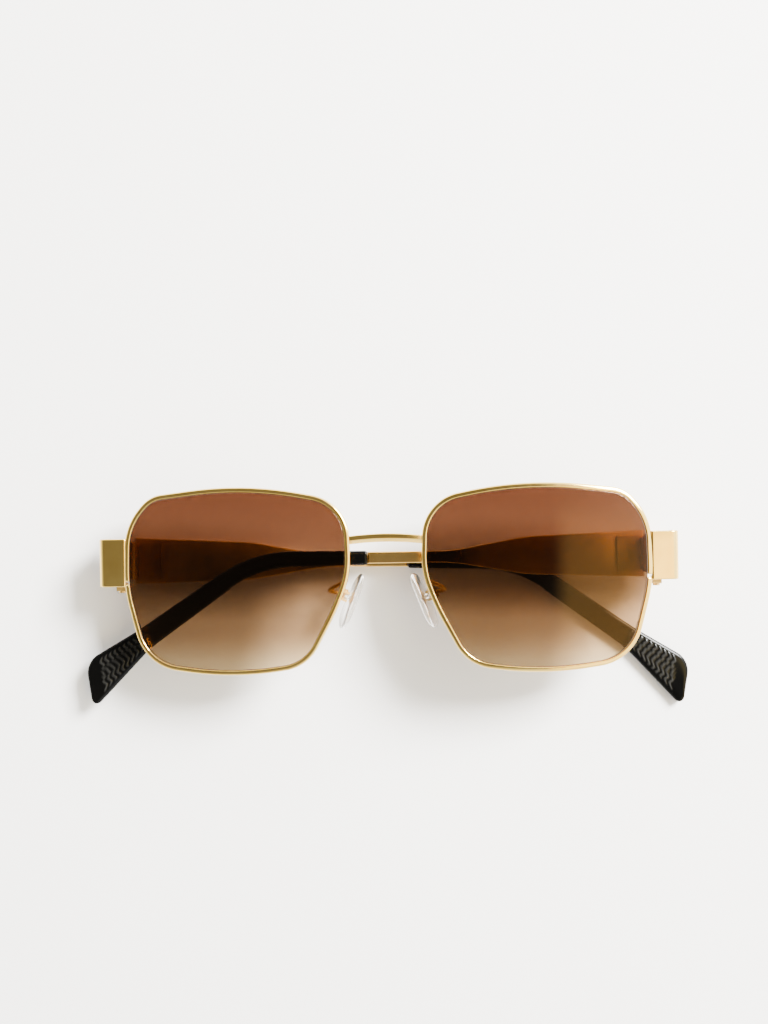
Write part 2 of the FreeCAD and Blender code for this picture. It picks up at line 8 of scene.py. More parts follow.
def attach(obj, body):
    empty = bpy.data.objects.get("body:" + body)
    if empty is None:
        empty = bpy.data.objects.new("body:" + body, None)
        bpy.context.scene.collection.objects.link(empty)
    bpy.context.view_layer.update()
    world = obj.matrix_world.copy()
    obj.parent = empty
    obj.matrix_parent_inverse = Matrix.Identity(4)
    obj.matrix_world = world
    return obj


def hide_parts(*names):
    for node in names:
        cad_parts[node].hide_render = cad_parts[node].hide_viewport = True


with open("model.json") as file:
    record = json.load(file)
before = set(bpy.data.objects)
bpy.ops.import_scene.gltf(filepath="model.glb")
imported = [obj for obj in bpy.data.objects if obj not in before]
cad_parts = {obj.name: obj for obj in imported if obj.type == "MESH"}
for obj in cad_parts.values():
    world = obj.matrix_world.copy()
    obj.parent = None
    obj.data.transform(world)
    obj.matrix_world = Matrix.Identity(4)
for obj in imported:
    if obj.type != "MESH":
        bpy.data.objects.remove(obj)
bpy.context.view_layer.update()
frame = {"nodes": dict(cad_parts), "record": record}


# Rims: drawn gold-plated wire bent round each lens, about 1.2 mm wide and 2.2 mm deep, with its
# edges eased. The outline is straight runs joined by tangent arcs, and it lies on the lens's
# sphere. The wire is cut through beside the endpiece, where the closing blocks pull it shut.
MM = 0.001
HINGE_DEPTH = 13.2
LENS_GAP, LENS_WIDTH, LENS_HEIGHT, LENS_RISE = 17.2, 55.6, 45.4, 17.9
BASE_RADIUS, WRAP = 130.0, math.radians(4)
RIM_WIDE, RIM_DEEP, RIM_EASE, RIM_STEP = 1.2, 2.2, 0.34, 0.4
SLIT_DROP = 4.9
# Each corner: share of the width from the nose, share of the height from the top, radius.
RIM_CORNERS = [(0.451, -0.024, 90.0), (0.885, 0.035, 8.0), (1.0, 0.190, 15.0), (1.003, 0.533, 33.0),
               (0.915, 0.953, 12.0), (0.505, 1.018, 84.0), (0.190, 0.957, 11.0), (0.059, 0.656, 63.0),
               (-0.003, 0.462, 22.0), (0.009, 0.081, 11.0)]


def unit(vector):
    """A vector over its own length: the same direction, one long."""
    return np.asarray(vector, float) / np.linalg.norm(vector)


def place(origin, x_axis, y_axis):
    """A function that carries points in millimetres from a piece's own place to the frame, in metres:
    the origin plus each coordinate times its own direction."""
    z_axis = np.cross(x_axis, y_axis)

    def carry(points):
        points = np.asarray(points, float)
        across, up, out = points[..., :1], points[..., 1:2], points[..., 2:]
        return origin + MM * (across * x_axis + up * y_axis + out * z_axis)
    return carry


def rounded(corners, step, closed=True, arc_points=40):
    """Even steps along an outline of corners (x, y, radius). Each corner becomes an arc that touches
    both its sides: its centre lies on the line that halves the corner, at the radius over the sine
    of half the corner's angle."""
    corners = np.asarray(corners, float)
    run = []
    for index, (x, y, radius) in enumerate(corners):
        here = np.array([x, y])
        if radius == 0 or (not closed and index in (0, len(corners) - 1)):
            run.append(here[None])
            continue
        before = unit(corners[index - 1, :2] - here)
        after = unit(corners[(index + 1) % len(corners), :2] - here)
        half_angle = math.acos(float(np.clip(before @ after, -1, 1))) / 2
        centre = here + unit(before + after) * radius / math.sin(half_angle)
        start = here + before * radius / math.tan(half_angle) - centre
        turn = math.copysign(math.pi - 2 * half_angle, before[1] * after[0] - before[0] * after[1])
        angle = math.atan2(start[1], start[0]) + turn * np.linspace(0, 1, arc_points)
        run.append(centre + radius * np.stack([np.cos(angle), np.sin(angle)], 1))
    run = np.concatenate(run + ([run[0][:1]] if closed else []))
    length = np.r_[0, np.cumsum(np.linalg.norm(np.diff(run, axis=0), axis=1))]
    count = max(8, int(round(length[-1] / step)))
    even = np.linspace(0, length[-1], count, endpoint=not closed)
    return np.stack([np.interp(even, length, run[:, axis]) for axis in (0, 1)], 1)


def left_normals(outline):
    """Unit normals on the left of a closed outline: the line between neighbours, a quarter turned."""
    along = np.roll(outline, -1, 0) - np.roll(outline, 1, 0)
    along /= np.linalg.norm(along, axis=1, keepdims=True)
    return np.stack([-along[:, 1], along[:, 0]], 1)


def rounded_box(width, height, radius, each=5):
    """Section of a bar, anticlockwise: a rectangle whose corners are quarter circles, each arc being
    radius times (cos a, sin a), turned a quarter further at each corner."""
    angle = np.linspace(0, math.pi / 2, each) + np.arange(4)[:, None] * math.pi / 2
    centres = np.array([(1, 1), (-1, 1), (-1, -1), (1, -1)]) * [width / 2 - radius, height / 2 - radius]
    return (centres[:, None] + radius * np.stack([np.cos(angle), np.sin(angle)], -1)).reshape(-1, 2)


def lens_height(x, y, out=0.0):
    """Height of the lens's sphere above a point of the front, moved outwards by out: the sphere's
    middle plus the root of its radius squared less the distances across squared."""
    return sphere_z + np.sqrt((BASE_RADIUS + out) ** 2 - (x - sphere_x) ** 2 - (y - sphere_y) ** 2)


def skin(name, rings, flip=False):
    """Closed mesh over rings of points, shape (rings, around, 3) in metres: four-sided faces join
    each ring to the next, and a fan round the ring's own middle closes each end."""
    count, around = rings.shape[:2]
    points = np.concatenate([rings.reshape(-1, 3), rings[0].mean(0)[None], rings[-1].mean(0)[None]])
    ring = np.arange(count - 1)[:, None] * around
    here = np.arange(around)
    ahead = (here + 1) % around
    bands = np.stack([ring + here, ring + ahead, ring + around + ahead, ring + around + here], -1)
    start_fan = np.stack([ahead, here, np.full(around, count * around)], 1)
    last_ring = (count - 1) * around
    end_fan = np.stack([last_ring + here, last_ring + ahead, np.full(around, count * around + 1)], 1)
    turn = -1 if flip else 1
    faces = [face for part in (bands.reshape(-1, 4), start_fan, end_fan) for face in part[:, ::turn].tolist()]
    mesh = bpy.data.meshes.new(name)
    mesh.from_pydata(points.tolist(), [], faces)
    mesh.update()
    mesh.polygons.foreach_set("use_smooth", np.ones(len(mesh.polygons), bool))
    piece = bpy.data.objects.new(name, mesh)
    bpy.context.scene.collection.objects.link(piece)
    return piece


def both_sides(points):
    """The left piece's points and the right piece's, its mirror image with the sign of x turned."""
    return (("left", points, False), ("right", points * [-1, 1, 1], True))


def node_tools(tree):
    """Two short ways to work in a node tree: node adds one with its settings, join links two."""
    def node(kind, **settings):
        made = tree.nodes.new(kind)
        for key, setting in settings.items():
            if hasattr(made, key):
                setattr(made, key, setting)
            else:
                made.inputs[key.replace("_", " ")].default_value = setting
        return made

    def join(source, output, target, socket):
        tree.links.new(source.outputs[output], target.inputs[socket])
    return node, join


def shader(name):
    """A new node material, its surface shader and the two tools of its tree."""
    material = bpy.data.materials.new(name)
    material.use_nodes = True
    node, join = node_tools(material.node_tree)
    return material, material.node_tree.nodes["Principled BSDF"], node, join


def ramp(node, *stops):
    """A colour ramp with a stop (position, colour) at each place, first and last given first and last."""
    made = node("ShaderNodeValToRGB")
    (first, first_colour), *between, (last, last_colour) = stops
    low, high = made.color_ramp.elements
    low.position, high.position = first, last
    low.color, high.color = (*first_colour, 1), (*last_colour, 1)
    for position, colour in between:
        made.color_ramp.elements.new(position).color = (*colour, 1)
    return made


def plated(name, light, dark, smooth, worn):
    """Gold plate: a slow drift between two golds, fine rubbed grain, and a few soft handling marks."""
    material, surface, node, join = shader(name)
    place_on = node("ShaderNodeTexCoord")
    drift = node("ShaderNodeTexNoise", Scale=90.0, Detail=3.0)
    tone = ramp(node, (0.35, dark), (0.7, light))
    marks = node("ShaderNodeTexNoise", Scale=420.0, Detail=6.0, Roughness=0.7)
    sheen = node("ShaderNodeMapRange", From_Min=0.35, From_Max=0.75, To_Min=smooth, To_Max=worn)
    stretch = node("ShaderNodeMapping", Scale=(300.0, 9000.0, 9000.0))
    grain = node("ShaderNodeTexNoise", Scale=1.0, Detail=2.0)
    bump = node("ShaderNodeBump", Strength=0.04, Distance=0.0002)
    for texture in (drift, marks, stretch):
        join(place_on, "Object", texture, "Vector")
    join(drift, "Fac", tone, "Fac")
    join(tone, "Color", surface, "Base Color")
    join(marks, "Fac", sheen, "Value")
    join(sheen, "Result", surface, "Roughness")
    join(stretch, "Vector", grain, "Vector")
    join(grain, "Fac", bump, "Height")
    join(bump, "Normal", surface, "Normal")
    surface.inputs["Metallic"].default_value = 1.0
    return material


# The hinge pins give the front's three directions; its pieces are drawn in millimetres there.
joints = {joint["name"]: joint for joint in frame["record"]["behaviour"]["joints"]}
right_pin = np.array(joints["right_temple_hinge"]["pos_m"])
left_pin = np.array(joints["left_temple_hinge"]["pos_m"])
front_x = unit(left_pin - right_pin)
front_y = unit(-np.array(joints["left_temple_hinge"]["axis"]))
front_z = np.cross(front_x, front_y)
middle = (right_pin + left_pin) / 2 + front_z * HINGE_DEPTH * MM
on_front = place(middle, front_x, front_y)
sphere_x = LENS_GAP / 2 + LENS_WIDTH / 2 - BASE_RADIUS * math.sin(WRAP)
sphere_y = LENS_RISE - LENS_HEIGHT / 2
sphere_z = -BASE_RADIUS * math.cos(WRAP)

gold = plated("polished_gold_plate", (0.92, 0.65, 0.18), (0.76, 0.50, 0.12), 0.07, 0.18)
rim_outline = rounded([(LENS_GAP / 2 + across * LENS_WIDTH, LENS_RISE - LENS_HEIGHT * down, radius)
                       for across, down, radius in RIM_CORNERS], RIM_STEP)
rim_normals = left_normals(rim_outline)
# The wire leaves out the outer point that is level with the slit, which opens it by two steps.
outer = rim_outline[:, 0] > LENS_GAP
slit_point = int(np.argmin(np.where(outer, np.abs(rim_outline[:, 1] + SLIT_DROP), np.inf)))
order = np.roll(np.arange(len(rim_outline)), -slit_point - 1)[:-1]
wire_section = rounded_box(RIM_WIDE, RIM_DEEP, RIM_EASE)
wire_flat = (rim_outline[order][:, None]
             + rim_normals[order][:, None] * (wire_section[None, :, :1] - RIM_WIDE / 2))
wire_depth = lens_height(wire_flat[..., 0], wire_flat[..., 1], wire_section[None, :, 1])
for side, points, mirrored in both_sides(np.concatenate([wire_flat, wire_depth[..., None]], -1)):
    rim = skin("rim_%s_wire" % side, on_front(points), flip=mirrored)
    rim.data.materials.append(gold)
    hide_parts("rim_" + side)
    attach(rim, "front")


# Lenses: 2 mm plastic cut to the rim and bent to a 130 mm sphere, polished on both faces, dyed
# brown that fades from dark at the top to pale at the bottom. The dye is in a skin on each face,
# so each face takes half of it; light that crosses at a slant reflects more.
LENS_THICK, LENS_EASE, LENS_TUCK = 2.0, 0.2, 0.02
LENS_MIDDLE, LENS_RINGS, LENS_EDGE_RINGS = 0.002, 30, 5
LENS_DYE = [(0.0, (0.71, 0.62, 0.47)), (0.28, (0.54, 0.42, 0.30)), (0.52, (0.30, 0.218, 0.15)),
            (0.78, (0.255, 0.155, 0.105)), (1.0, (0.24, 0.138, 0.093))]
DYE_DRIFT = 0.05

tinted, surface, node, join = shader("brown_gradient_lens")
place_on = node("ShaderNodeTexCoord")
split = node("ShaderNodeSeparateXYZ")
fade = node("ShaderNodeMapRange", From_Min=float(middle[1]) + (LENS_RISE - LENS_HEIGHT) * MM,
            From_Max=float(middle[1]) + LENS_RISE * MM)
mottle = node("ShaderNodeTexNoise", Scale=35.0, Detail=2.0)
drift = node("ShaderNodeMath", operation="MULTIPLY_ADD")
drift.inputs[1].default_value = DYE_DRIFT
dye = ramp(node, *LENS_DYE)
dye.color_ramp.interpolation = "EASE"
clear = node("ShaderNodeBsdfTransparent")
slant = node("ShaderNodeFresnel", IOR=1.56)
blend = node("ShaderNodeMixShader")
smear = node("ShaderNodeTexNoise", Scale=260.0, Detail=5.0)
polish = node("ShaderNodeMapRange", From_Min=0.4, From_Max=0.8, To_Min=0.01, To_Max=0.07)
for texture in (split, mottle, smear):
    join(place_on, "Object", texture, "Vector")
join(split, "Y", fade, "Value")
join(mottle, "Fac", drift, 0)
join(fade, "Result", drift, 2)
join(drift, "Value", dye, "Fac")
join(dye, "Color", clear, "Color")
join(smear, "Fac", polish, "Value")
join(polish, "Result", surface, "Roughness")
surface.inputs["Base Color"].default_value = (0.32, 0.23, 0.16, 1)
surface.inputs["Metallic"].default_value = 1.0
join(slant, "Fac", blend, "Fac")
join(clear, "BSDF", blend, 1)
join(surface, "BSDF", blend, 2)
join(blend, "Shader", tinted.node_tree.nodes["Material Output"], "Surface")

# Rings grow from the middle of the outer face to the rim, round the eased edge and back behind.
rim_middle = np.array([LENS_GAP / 2 + LENS_WIDTH / 2, sphere_y])
edge_line = rim_outline - rim_normals * (RIM_WIDE - LENS_TUCK)
face_shares = np.r_[LENS_MIDDLE, np.linspace(0.05, 0.99, LENS_RINGS)]
edge_turn = np.linspace(0, math.pi / 2, LENS_EDGE_RINGS)
reach = np.r_[face_shares, np.ones(len(edge_turn))]
inset = np.r_[np.zeros(len(face_shares)), LENS_EASE * (1 - np.sin(edge_turn))]
rise = LENS_THICK / 2 - np.r_[np.zeros(len(face_shares)), LENS_EASE * (1 - np.cos(edge_turn))]
reach, inset, rise = np.r_[reach, reach[::-1]], np.r_[inset, inset[::-1]], np.r_[rise, -rise[::-1]]
lens_flat = (rim_middle + (edge_line - rim_middle)[None] * reach[:, None, None]
             - rim_normals[None] * inset[:, None, None])
lens_depth = lens_height(lens_flat[..., 0], lens_flat[..., 1], rise[:, None])
for side, points, mirrored in both_sides(np.concatenate([lens_flat, lens_depth[..., None]], -1)):
    lens = skin("lens_%s_plate" % side, on_front(points), flip=not mirrored)
    lens.data.materials.append(tinted)
    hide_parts("lens_" + side)
    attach(lens, "front")


# Bridge: one gold-plated bar, 2 mm tall, soldered between the rims, arched upwards and bowed
# forwards. The lower half of its face is filed back, so it shows an upper and a lower facet.
BRIDGE_TALL, BRIDGE_DEEP, BRIDGE_FACET, BRIDGE_SINK, BRIDGE_INTO_RIM = 2.05, 1.8, 0.9, 0.9, 0.75
BRIDGE_RISE, BRIDGE_ARCH, BRIDGE_ARCH_OVER, BRIDGE_BOW = 5.35, 0.7, 1.5, 0.7
BACK_EASE, BROW_EASE, FACET_EASE, PROFILE_STEP, BRIDGE_RINGS = 0.25, 0.3, 0.2, 0.12, 41
half_tall, half_deep = BRIDGE_TALL / 2, BRIDGE_DEEP / 2
profile = rounded([(half_tall, -half_deep, BACK_EASE), (half_tall, half_deep, BROW_EASE),
                   (-half_tall + BRIDGE_FACET, half_deep, FACET_EASE),
                   (-half_tall, half_deep - BRIDGE_FACET, FACET_EASE),
                   (-half_tall, -half_deep, BACK_EASE)], PROFILE_STEP)
bar_x = np.linspace(-1, 1, BRIDGE_RINGS)[:, None] * (LENS_GAP / 2 + BRIDGE_INTO_RIM)
# Both curves are parabolas about the nose: the arch falls and the bow recedes with x squared.
arch = BRIDGE_RISE - BRIDGE_ARCH * (bar_x / (LENS_GAP / 2 + BRIDGE_ARCH_OVER)) ** 2
bow = BRIDGE_SINK + BRIDGE_BOW * (bar_x / (LENS_GAP / 2)) ** 2
rings = np.stack(np.broadcast_arrays(bar_x, arch + profile[None, :, 0], profile[None, :, 1] - bow), -1)
bar = skin("bridge_bar", on_front(rings))
bar.data.materials.append(gold)
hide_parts("bridge")
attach(bar, "front")


# Endpieces: 1.2 mm gold-plated strip, 11.8 mm tall, soldered to the side of the rim and bent back
# round the corner to the hinge. The edge by the rim follows the wire; all edges are eased.
HINGE_INSET = 6.0
STRIP_TALL, STRIP_THICK, EDGE_EASE, EASE_POINTS = 11.8, 1.2, 0.3, 6
ENDPIECE_FRONT, ENDPIECE_BEND, ENDPIECE_DROP, BUTT_GAP, SOLDER = -4.1, 1.8, 0.5, 0.15, 0.02
FACE_RINGS, CORNER_RINGS, WRAP_RINGS = 12, 14, 12
hinge_x = np.linalg.norm(left_pin - right_pin) / 2 / MM
rim_edge = LENS_GAP / 2 + LENS_WIDTH
turn_x = hinge_x + HINGE_INSET - ENDPIECE_BEND
front_mid = ENDPIECE_FRONT - STRIP_THICK / 2
bend_middle = ENDPIECE_BEND - STRIP_THICK / 2
bend_z = front_mid - ENDPIECE_DROP - bend_middle
slope = math.atan2(ENDPIECE_DROP, turn_x - rim_edge)
section = rounded_box(STRIP_THICK, STRIP_TALL, EDGE_EASE, EASE_POINTS)
through, up_strip = section[None, :, 0], section[None, :, 1]
outer_wire = rim_outline[rim_outline[:, 0] > rim_middle[0]]
outer_wire = outer_wire[np.argsort(outer_wire[:, 1])]
start_x = np.interp(up_strip, outer_wire[:, 1], outer_wire[:, 0]) + SOLDER
# The face slopes back in a straight line, the corner is an arc and the wrap runs straight back.
along_face = np.linspace(0, 1, FACE_RINGS)[:, None]
face_x = start_x + (turn_x - start_x) * along_face
face_z = front_mid + through - math.tan(slope) * (face_x - rim_edge)
bend_angle = np.linspace(slope, math.pi / 2, CORNER_RINGS)[1:, None]
bend_radius = bend_middle + through
wrap_z = np.linspace(bend_z, -HINGE_DEPTH + BUTT_GAP, WRAP_RINGS)[1:, None]
stretches = [(face_x + through * math.sin(slope) * along_face, face_z),
             (turn_x + bend_radius * np.sin(bend_angle), bend_z + bend_radius * np.cos(bend_angle)),
             (turn_x + bend_radius, wrap_z)]
strip_rings = np.concatenate([np.stack(np.broadcast_arrays(x, up_strip, z), -1) for x, z in stretches])
for side, points, mirrored in both_sides(strip_rings):
    endpiece = skin("endpiece_%s_strip" % side, on_front(points), flip=not mirrored)
    endpiece.data.materials.append(gold)
    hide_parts("endpiece_" + side)
    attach(endpiece, "front")


# Hinges, closing blocks, screws, pad arms and pad boxes: small turned and milled brass pieces and
# bent wire, gold plated and left satin, so they read a little darker than the polished strips.
satin = plated("satin_gold_plate", (0.84, 0.56, 0.18), (0.66, 0.41, 0.12), 0.32, 0.48)
SATIN_NODES = ("front_hinge", "temple_hinge", "closing_block", "pad_box", "pad_arm")
for name, piece in frame["nodes"].items():
    if name.startswith(SATIN_NODES) or "screws" in name:
        piece.data.materials.clear()
        piece.data.materials.append(satin)


# Temples: 1.2 mm gold-plated strip, 11.8 mm tall at the hinge, narrowing smoothly to a 3 mm bar
# that runs into the black tip. Stamped flat with eased edges. The broad blade is brushed and the
# narrow bar polished; the finish changes where the taper ends.
SHOULDER_START, SHOULDER_TALL, BAR_START, BAR_TALL, TAPER_RADIUS = 30.0, 9.6, 48.5, 3.0, 40.0
SLEEVE_START, SLEEVE_GAP, TEMPLE_STEP = 70.0, 0.02, 0.5
POLISH_END, BRUSH_START, BRUSH_ROUGH = 0.014, 0.024, 0.34
# Each temple lies level from its own hinge pin.
right_y = unit(-np.array(joints["right_temple_hinge"]["axis"]))
left_x = unit(front_x * [1, 1, 0])
on_temple = {"right": place(right_pin, unit(np.cross(right_y, [0, 0, 1])), right_y),
             "left": place(left_pin, left_x, unit(np.cross(np.cross(left_x, front_y), left_x)))}

brushed = plated("brushed_gold_blade", (0.92, 0.62, 0.20), (0.76, 0.46, 0.13), 0.07, 0.18)
plate_nodes = brushed.node_tree.nodes
plate_place, plate_sheen = plate_nodes["Texture Coordinate"], plate_nodes["Map Range"]
node, join = node_tools(brushed.node_tree)
split = node("ShaderNodeSeparateXYZ")
from_nose = node("ShaderNodeMath", operation="ABSOLUTE")
blade = node("ShaderNodeMapRange", From_Min=POLISH_END, From_Max=BRUSH_START, To_Max=BRUSH_ROUGH)
rougher = node("ShaderNodeMath")
join(plate_place, "Object", split, "Vector")
join(split, "X", from_nose, 0)
join(from_nose, "Value", blade, "Value")
join(blade, "Result", rougher, 0)
join(plate_sheen, "Result", rougher, 1)
join(rougher, "Value", plate_nodes["Principled BSDF"], "Roughness")

# The section is an eased box whose height follows the upper edge's outline along the temple.
taper = rounded([(BUTT_GAP, STRIP_TALL / 2, 0), (SHOULDER_START, SHOULDER_TALL / 2, TAPER_RADIUS),
                 (BAR_START, BAR_TALL / 2, TAPER_RADIUS), (SLEEVE_START - SLEEVE_GAP, BAR_TALL / 2, 0)],
                TEMPLE_STEP, closed=False)
narrowest = rounded_box(2 * EDGE_EASE, STRIP_THICK, EDGE_EASE, EASE_POINTS)
edge_side = np.repeat([1, -1, -1, 1], EASE_POINTS)
up_temple = narrowest[:, 0] + edge_side * (taper[:, 1:] - EDGE_EASE)
blade_z = narrowest[:, 1] - HINGE_INSET + STRIP_THICK / 2
temple_rings = np.stack(np.broadcast_arrays(-taper[:, :1], up_temple, blade_z), -1)
for side, points, mirrored in both_sides(temple_rings):
    strip = skin("temple_%s_strip" % side, on_temple[side](points), flip=not mirrored)
    strip.data.materials.append(brushed)
    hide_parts("temple_" + side)
    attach(strip, side + "_temple")


# Temple tips: glossy black cellulose sleeves pushed over the temple's core wire, slim and boxy at
# the bar, bent down behind the ear and broad at the end. Ten raised wavy ribs cross each face of
# the broad part for grip. Their crests are painted a paler black as a painted highlight and given a
# rougher finish. The last few millimetres are smooth.
BEND_START, BEND_RADIUS, BEND_ANGLE = 88.9, 30.0, math.radians(34.5)
SLEEVE_THICK, SLEEVE_SKIN, SLEEVE_TALL, BEND_TALL, SLEEVE_SQUARE = 2.8, 0.03, 3.6, 4.3, 0.45
MOUTH_LONG, MOUTH_TALL, TIP_EASE = 0.8, 0.72, 1.5
PADDLE_START, PADDLE_UPPER, PADDLE_LOWER, PADDLE_BLEND, PADDLE_STEP = 25.4, 2.7, 2.8, 30.0, 0.05
PADDLE_THIN, THIN_FROM, THIN_OVER = 0.06, 20.0, 5.0
CORNER, CORNER_ROUND, POINT, POINT_ROUND = (40.8, 3.9), 5.3, (46.1, -7.15), 1.3
RIB_PITCH, RIB_HIGH, RIB_WAVE, RIB_WAVELENGTH = 1.45, 0.13, 0.36, 2.2
RIB_FIRST, RIB_COUNT, RIB_SLANT, RIB_SHARP = 25.0, 10, 0.5, 1.5
RIB_MARGIN, RIB_FADE, RIB_FACE, RIB_LEAD, RIB_TAIL = 0.9, 0.5, 0.6, 2.0, 1.0
MOUTH_LAST, MIDDLE_FIRST, NEARLY_END = 0.9, 1.2, 0.99995
MOUTH_RINGS, MIDDLE_RINGS, RIB_RINGS, END_RINGS, AROUND = 10, 50, 170, 110, 176
straight = BEND_START - SLEEVE_START
bend_end = straight + BEND_RADIUS * BEND_ANGLE
# Outline of the part below the ear: along the drop, and above its middle line.
before_drop = -BEND_RADIUS * math.tan(BEND_ANGLE / 2)
drop = rounded([(before_drop, BEND_TALL / 2, 0), (PADDLE_START, PADDLE_UPPER, PADDLE_BLEND),
                (*CORNER, CORNER_ROUND), (*POINT, POINT_ROUND), (PADDLE_START, -PADDLE_LOWER, PADDLE_BLEND),
                (before_drop, -BEND_TALL / 2, 0)], PADDLE_STEP, closed=False)
furthest = int(np.argmax(drop[:, 0]))
upper_side, lower_side = drop[:furthest + 1], drop[furthest:][::-1]
# Distance gone along the sleeve at each ring: close together at the mouth, the ribs and the end.
total = bend_end + drop[furthest, 0]
ribs_start = bend_end + RIB_FIRST - RIB_LEAD
ribs_end = bend_end + RIB_FIRST + RIB_PITCH * RIB_COUNT + RIB_TAIL
nearing = np.sin(np.linspace(0, math.pi / 2, END_RINGS)) * NEARLY_END
gone = np.r_[np.linspace(0, MOUTH_LAST, MOUTH_RINGS), np.linspace(MIDDLE_FIRST, bend_end, MIDDLE_RINGS),
             np.linspace(bend_end, ribs_start, MIDDLE_RINGS)[1:],
             np.linspace(ribs_start, ribs_end, RIB_RINGS)[1:],
             ribs_end + (total - ribs_end) * nearing[1:]]
# The middle line runs straight, then round an arc of the bend's radius, then straight down.
bent = np.clip((gone - straight) / BEND_RADIUS, 0, BEND_ANGLE)
below = np.clip(gone - bend_end, 0, None)
along_bar = SLEEVE_START + np.minimum(gone, straight)
line = np.stack([along_bar + BEND_RADIUS * np.sin(bent) + below * np.cos(bent),
                 -BEND_RADIUS * (1 - np.cos(bent)) - below * np.sin(bent)], 1)
above = np.stack([np.sin(bent), np.cos(bent)], 1)
early = np.interp(gone, [0, bend_end], [SLEEVE_TALL / 2, BEND_TALL / 2])
upper = np.where(below > 0, np.interp(below, upper_side[:, 0], upper_side[:, 1]), early)
lower = np.where(below > 0, np.interp(below, lower_side[:, 0], lower_side[:, 1]), -early)
mouth = MOUTH_TALL + (1 - MOUTH_TALL) * np.sqrt(1 - (1 - np.clip(gone / MOUTH_LONG, 0, 1)) ** 2)
half_high = (upper - lower) / 2 * mouth
# The section is a superellipse: cosine and sine, each raised to a power below one with its sign.
around = np.linspace(0, 2 * math.pi, AROUND, endpoint=False)
circle = np.stack([np.cos(around), np.sin(around)], 1)
boxy = np.sign(circle) * np.abs(circle) ** SLEEVE_SQUARE
height_on = ((upper + lower) / 2)[:, None] + half_high[:, None] * boxy[None, :, 0]
end_ease = np.sqrt(1 - (1 - np.clip(half_high / TIP_EASE, 0, 1)) ** 2)
thinner = 1 - PADDLE_THIN * np.clip((below - THIN_FROM) / THIN_OVER, 0, 1)
thick = (SLEEVE_THICK / 2 - SLEEVE_SKIN) * (mouth * end_ease * thinner)[:, None] * boxy[None, :, 1]
# Ribs: raised lines that step along the drop, slant and wave across it, and fade out at the edges,
# from a quarter of a pitch before the first crest to a quarter after the last.
from_first = (below[:, None] - RIB_FIRST + RIB_SLANT * height_on
              + RIB_WAVE * np.sin(2 * math.pi * height_on / RIB_WAVELENGTH))
crest = (0.5 + 0.5 * np.cos(2 * math.pi * from_first / RIB_PITCH)) ** RIB_SHARP
zone = (from_first > -RIB_PITCH / 4) & (from_first < RIB_PITCH * (RIB_COUNT - 0.75))
inside = np.minimum(upper[:, None] - height_on, height_on - lower[:, None])
faded = np.clip((inside - RIB_MARGIN) / RIB_FADE, 0, 1)
raised = crest * zone * faded * (np.abs(boxy[None, :, 1]) > RIB_FACE)
thick = thick + np.sign(thick) * RIB_HIGH * raised
sleeve_flat = line[:, None] + above[:, None] * height_on[..., None]
sleeve_rings = np.stack([-sleeve_flat[..., 0], sleeve_flat[..., 1],
                         thick - HINGE_INSET + SLEEVE_THICK / 2], -1)

BLACK_DARK, BLACK_LIGHT = (0.0008, 0.0008, 0.0007), (0.0016, 0.0016, 0.0014)
# The rib crests are painted a paler black: a painted highlight where light catches them.
CREST_PAINTED_HIGHLIGHT, RIB_ROUGHER = (0.011, 0.011, 0.010), 0.3
black, surface, node, join = shader("glossy_black_tip")
place_on = node("ShaderNodeTexCoord")
cloud = node("ShaderNodeTexNoise", Scale=160.0, Detail=5.0)
shade = ramp(node, (0.0, BLACK_DARK), (1.0, BLACK_LIGHT))
rubbed = node("ShaderNodeMapRange", From_Min=0.35, From_Max=0.75, To_Min=0.08, To_Max=0.2)
ripple = node("ShaderNodeTexNoise", Scale=900.0, Detail=3.0)
bump = node("ShaderNodeBump", Strength=0.02, Distance=0.0002)
on_rib = node("ShaderNodeAttribute", attribute_name="raised")
# Painted highlight: the rib crests take the paler black instead of the plain black.
crest_highlight_paint = node("ShaderNodeMix", data_type="RGBA")
crest_highlight_paint.inputs[7].default_value = (*CREST_PAINTED_HIGHLIGHT, 1)
duller = node("ShaderNodeMath", operation="MULTIPLY_ADD")
duller.inputs[1].default_value = RIB_ROUGHER
for texture in (cloud, ripple):
    join(place_on, "Object", texture, "Vector")
join(cloud, "Fac", shade, "Fac")
join(on_rib, "Fac", crest_highlight_paint, "Factor")
join(shade, "Color", crest_highlight_paint, 6)
join(crest_highlight_paint, 2, surface, "Base Color")
join(cloud, "Fac", rubbed, "Value")
join(on_rib, "Fac", duller, 0)
join(rubbed, "Result", duller, 2)
join(duller, "Value", surface, "Roughness")
join(ripple, "Fac", bump, "Height")
join(bump, "Normal", surface, "Normal")
surface.inputs["Specular IOR Level"].default_value = 0.12
for side, points, mirrored in both_sides(sleeve_rings):
    tip = skin("temple_tip_%s_sleeve" % side, on_temple[side](points), flip=not mirrored)
    on_rings = tip.data.attributes.new("raised", "FLOAT", "POINT")
    on_rings.data.foreach_set("value", np.r_[raised.ravel(), 0, 0])
    tip.data.materials.append(black)
    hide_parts("temple_tip_" + side)
    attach(tip, side + "_temple")


# Nose pads: clear moulded silicone, drop shaped, 14.5 by 8 mm and 1.8 mm thick with fully rounded
# edges, with a stem on the back that the pad screw passes through.
PAD_LONG, PAD_WIDE, PAD_THICK, PAD_STAND, PAD_SPLAY = 14.5, 8.0, 1.8, 1.5, math.radians(18)
PAD_ABOVE, PAD_BELOW, PAD_SLIM, SLIM_ROUND, BROAD_ROUND, PAD_STEP = 0.45, 0.55, 0.68, 0.9, 0.85, 0.3
PAD_EDGE_POWER, PAD_MIDDLE, PAD_RINGS = 0.55, 0.002, 40
STEM_WIDE, STEM_RADIUS, STEM_POINTS = 1.3, 0.66, 24
# The stem's stations: distance from the screw, on the pad's own axis, and thickness share.
STEM_STATIONS = [(-PAD_STAND - PAD_THICK / 2, 1.1), (-PAD_STAND + 0.3, 0.95), (-0.4, 0.95), (0.35, 0.7)]

